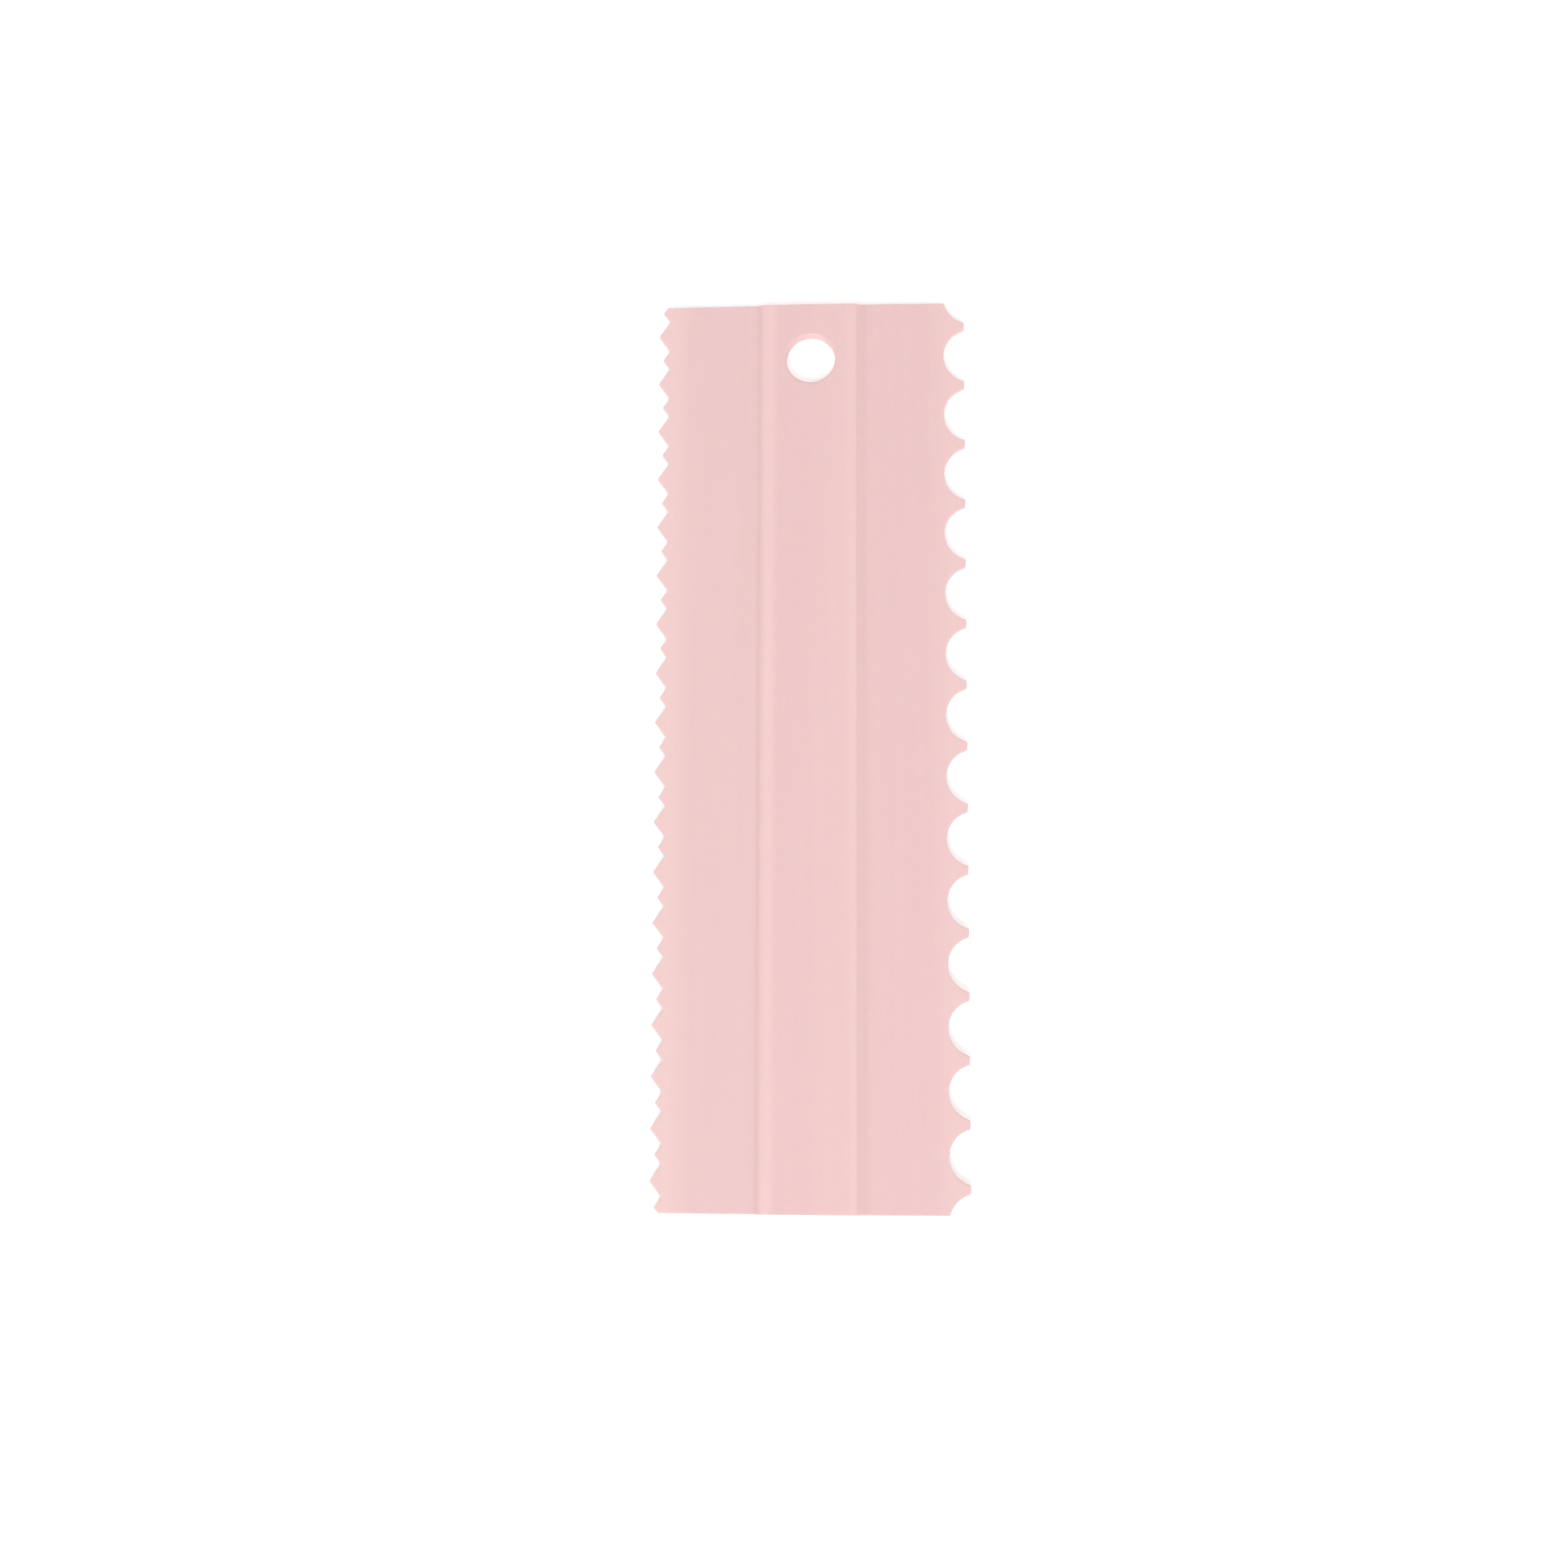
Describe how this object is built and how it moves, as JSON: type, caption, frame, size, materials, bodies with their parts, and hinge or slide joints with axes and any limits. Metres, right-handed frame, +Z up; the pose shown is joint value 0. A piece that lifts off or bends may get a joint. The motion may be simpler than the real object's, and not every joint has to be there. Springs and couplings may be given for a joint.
{
  "type": "icing smoother",
  "caption": "Flat one-piece plastic icing smoother: thick centre spine, thin wings, a saw-toothed edge, a scalloped edge and a round hanging hole at one end.",
  "frame": {"origin": "middle of the plate's box, on the flat back of the spine that it lies on", "axes": "+X across the plate towards the scalloped edge, -X towards the saw teeth, +Y along the plate towards the end with the hanging hole, +Z up through the thickness towards the front"},
  "size_m": [0.07, 0.205, 0.003],
  "materials": {
    "pink_polypropylene": "satin moulded polypropylene, pale pink, slightly translucent at its thin edges"
  },
  "bodies": {
    "root": {"smoother_plate": "pink_polypropylene"}
  },
  "joints": []
}
